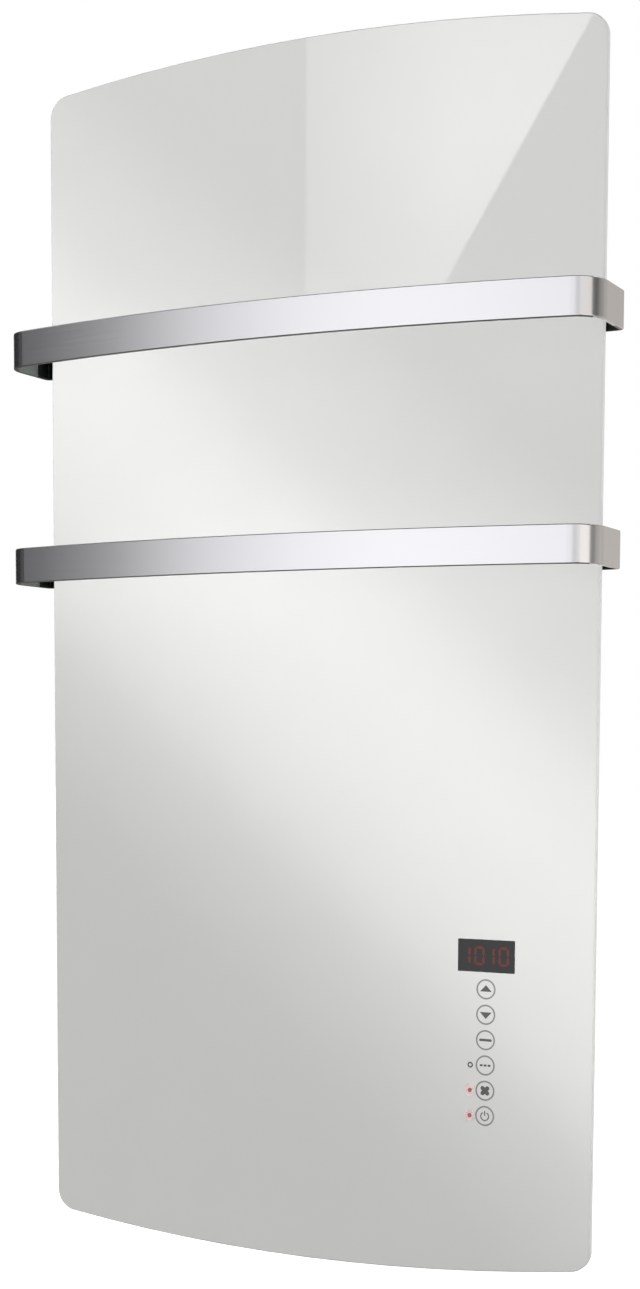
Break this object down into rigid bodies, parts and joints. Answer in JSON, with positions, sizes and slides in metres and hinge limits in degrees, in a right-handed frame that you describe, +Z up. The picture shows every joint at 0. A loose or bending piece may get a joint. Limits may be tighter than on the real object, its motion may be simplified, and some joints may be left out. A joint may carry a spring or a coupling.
{
  "type": "heated towel rail",
  "caption": "Wall-hung electric towel rail: arched pale glass front, bowed metal towel bars wrapped round its sides, touch controls, and a fan heater in a slim case behind.",
  "frame": {"origin": "middle of the wall bracket's bolt pattern, on the wall", "axes": "+Z up, +X to the viewer's right, +Y into the wall; the glass faces -Y"},
  "size_m": [0.526, 0.16, 1],
  "materials": {
    "back_painted_glass": "polished front, pale grey paint on the back",
    "satin_steel": "satin",
    "silicone": "matt",
    "zinc_screw": "zinc plated",
    "galvanised_sheet": "galvanised",
    "white_enamel": "fine satin powder coat",
    "grey_enamel": "satin powder coat",
    "bare_aluminium": "mill finish",
    "steatite": "unglazed ceramic",
    "black_plastic": "fine grain",
    "switch_plastic": "semi gloss",
    "impeller_aluminium": "plain",
    "bright_steel": "ground",
    "bronze": "sintered",
    "lamination": "varnished",
    "coil_tape": "taped",
    "die_cast": "as cast",
    "circuit_board": "solder mask",
    "display_plastic": "smoked",
    "touch_foam": "conductive foam",
    "lamp_resin": "clear red",
    "pillar_nylon": "moulded",
    "terminal_plastic": "moulded",
    "bumper_rubber": "matt"
  },
  "bodies": {
    "body": {"blower_casing": "black_plastic", "blower_heater": "bare_aluminium", "board_pillars": "pillar_nylon", "cable_gland": "black_plastic", "case_screws": "zinc_screw", "control_carrier": "black_plastic", "display_module": "display_plastic", "element_bracket_left": "galvanised_sheet", "element_bracket_right": "galvanised_sheet", "element_insulators": "steatite", "fan_outlet_grille": "grey_enamel", "front_chassis": "galvanised_sheet", "gland_nut": "black_plastic", "glass_bond_frame": "silicone", "glass_panel": "back_painted_glass", "heat_reflector": "bare_aluminium", "heating_element_lower": "bare_aluminium", "heating_element_upper": "bare_aluminium", "motor_bridge_left": "die_cast", "motor_bridge_right": "die_cast", "motor_coil": "coil_tape", "motor_stator": "lamination", "pilot_lamps": "lamp_resin", "power_board": "circuit_board", "power_relays": "black_plastic", "rear_cover": "white_enamel", "room_sensor": "black_plastic", "shaft_end_bush": "bronze", "switch_housing": "black_plastic", "terminal_block": "terminal_plastic", "thermal_cutout": "black_plastic", "top_outlet_grille": "grey_enamel", "touch_board": "circuit_board", "touch_pads": "touch_foam", "towel_bar_lower": "satin_steel", "towel_bar_screws": "zinc_screw", "towel_bar_upper": "satin_steel", "wall_bracket": "white_enamel", "wall_bumpers": "bumper_rubber"},
    "impeller": {"blower_impeller": "impeller_aluminium", "blower_shaft": "bright_steel", "motor_rotor": "bright_steel"},
    "rocker": {"switch_rocker": "switch_plastic"}
  },
  "joints": [
    {"name": "impeller_spin", "type": "hinge", "parent": "body", "child": "impeller", "pos_m": [0, -0.042, -0.37], "axis": [1, 0, 0], "continuous": true},
    {"name": "rocker_tilt", "type": "hinge", "parent": "body", "child": "rocker", "pos_m": [0.19, -0.04, -0.26], "axis": [0, 1, 0], "range_deg": [0, 18]}
  ]
}
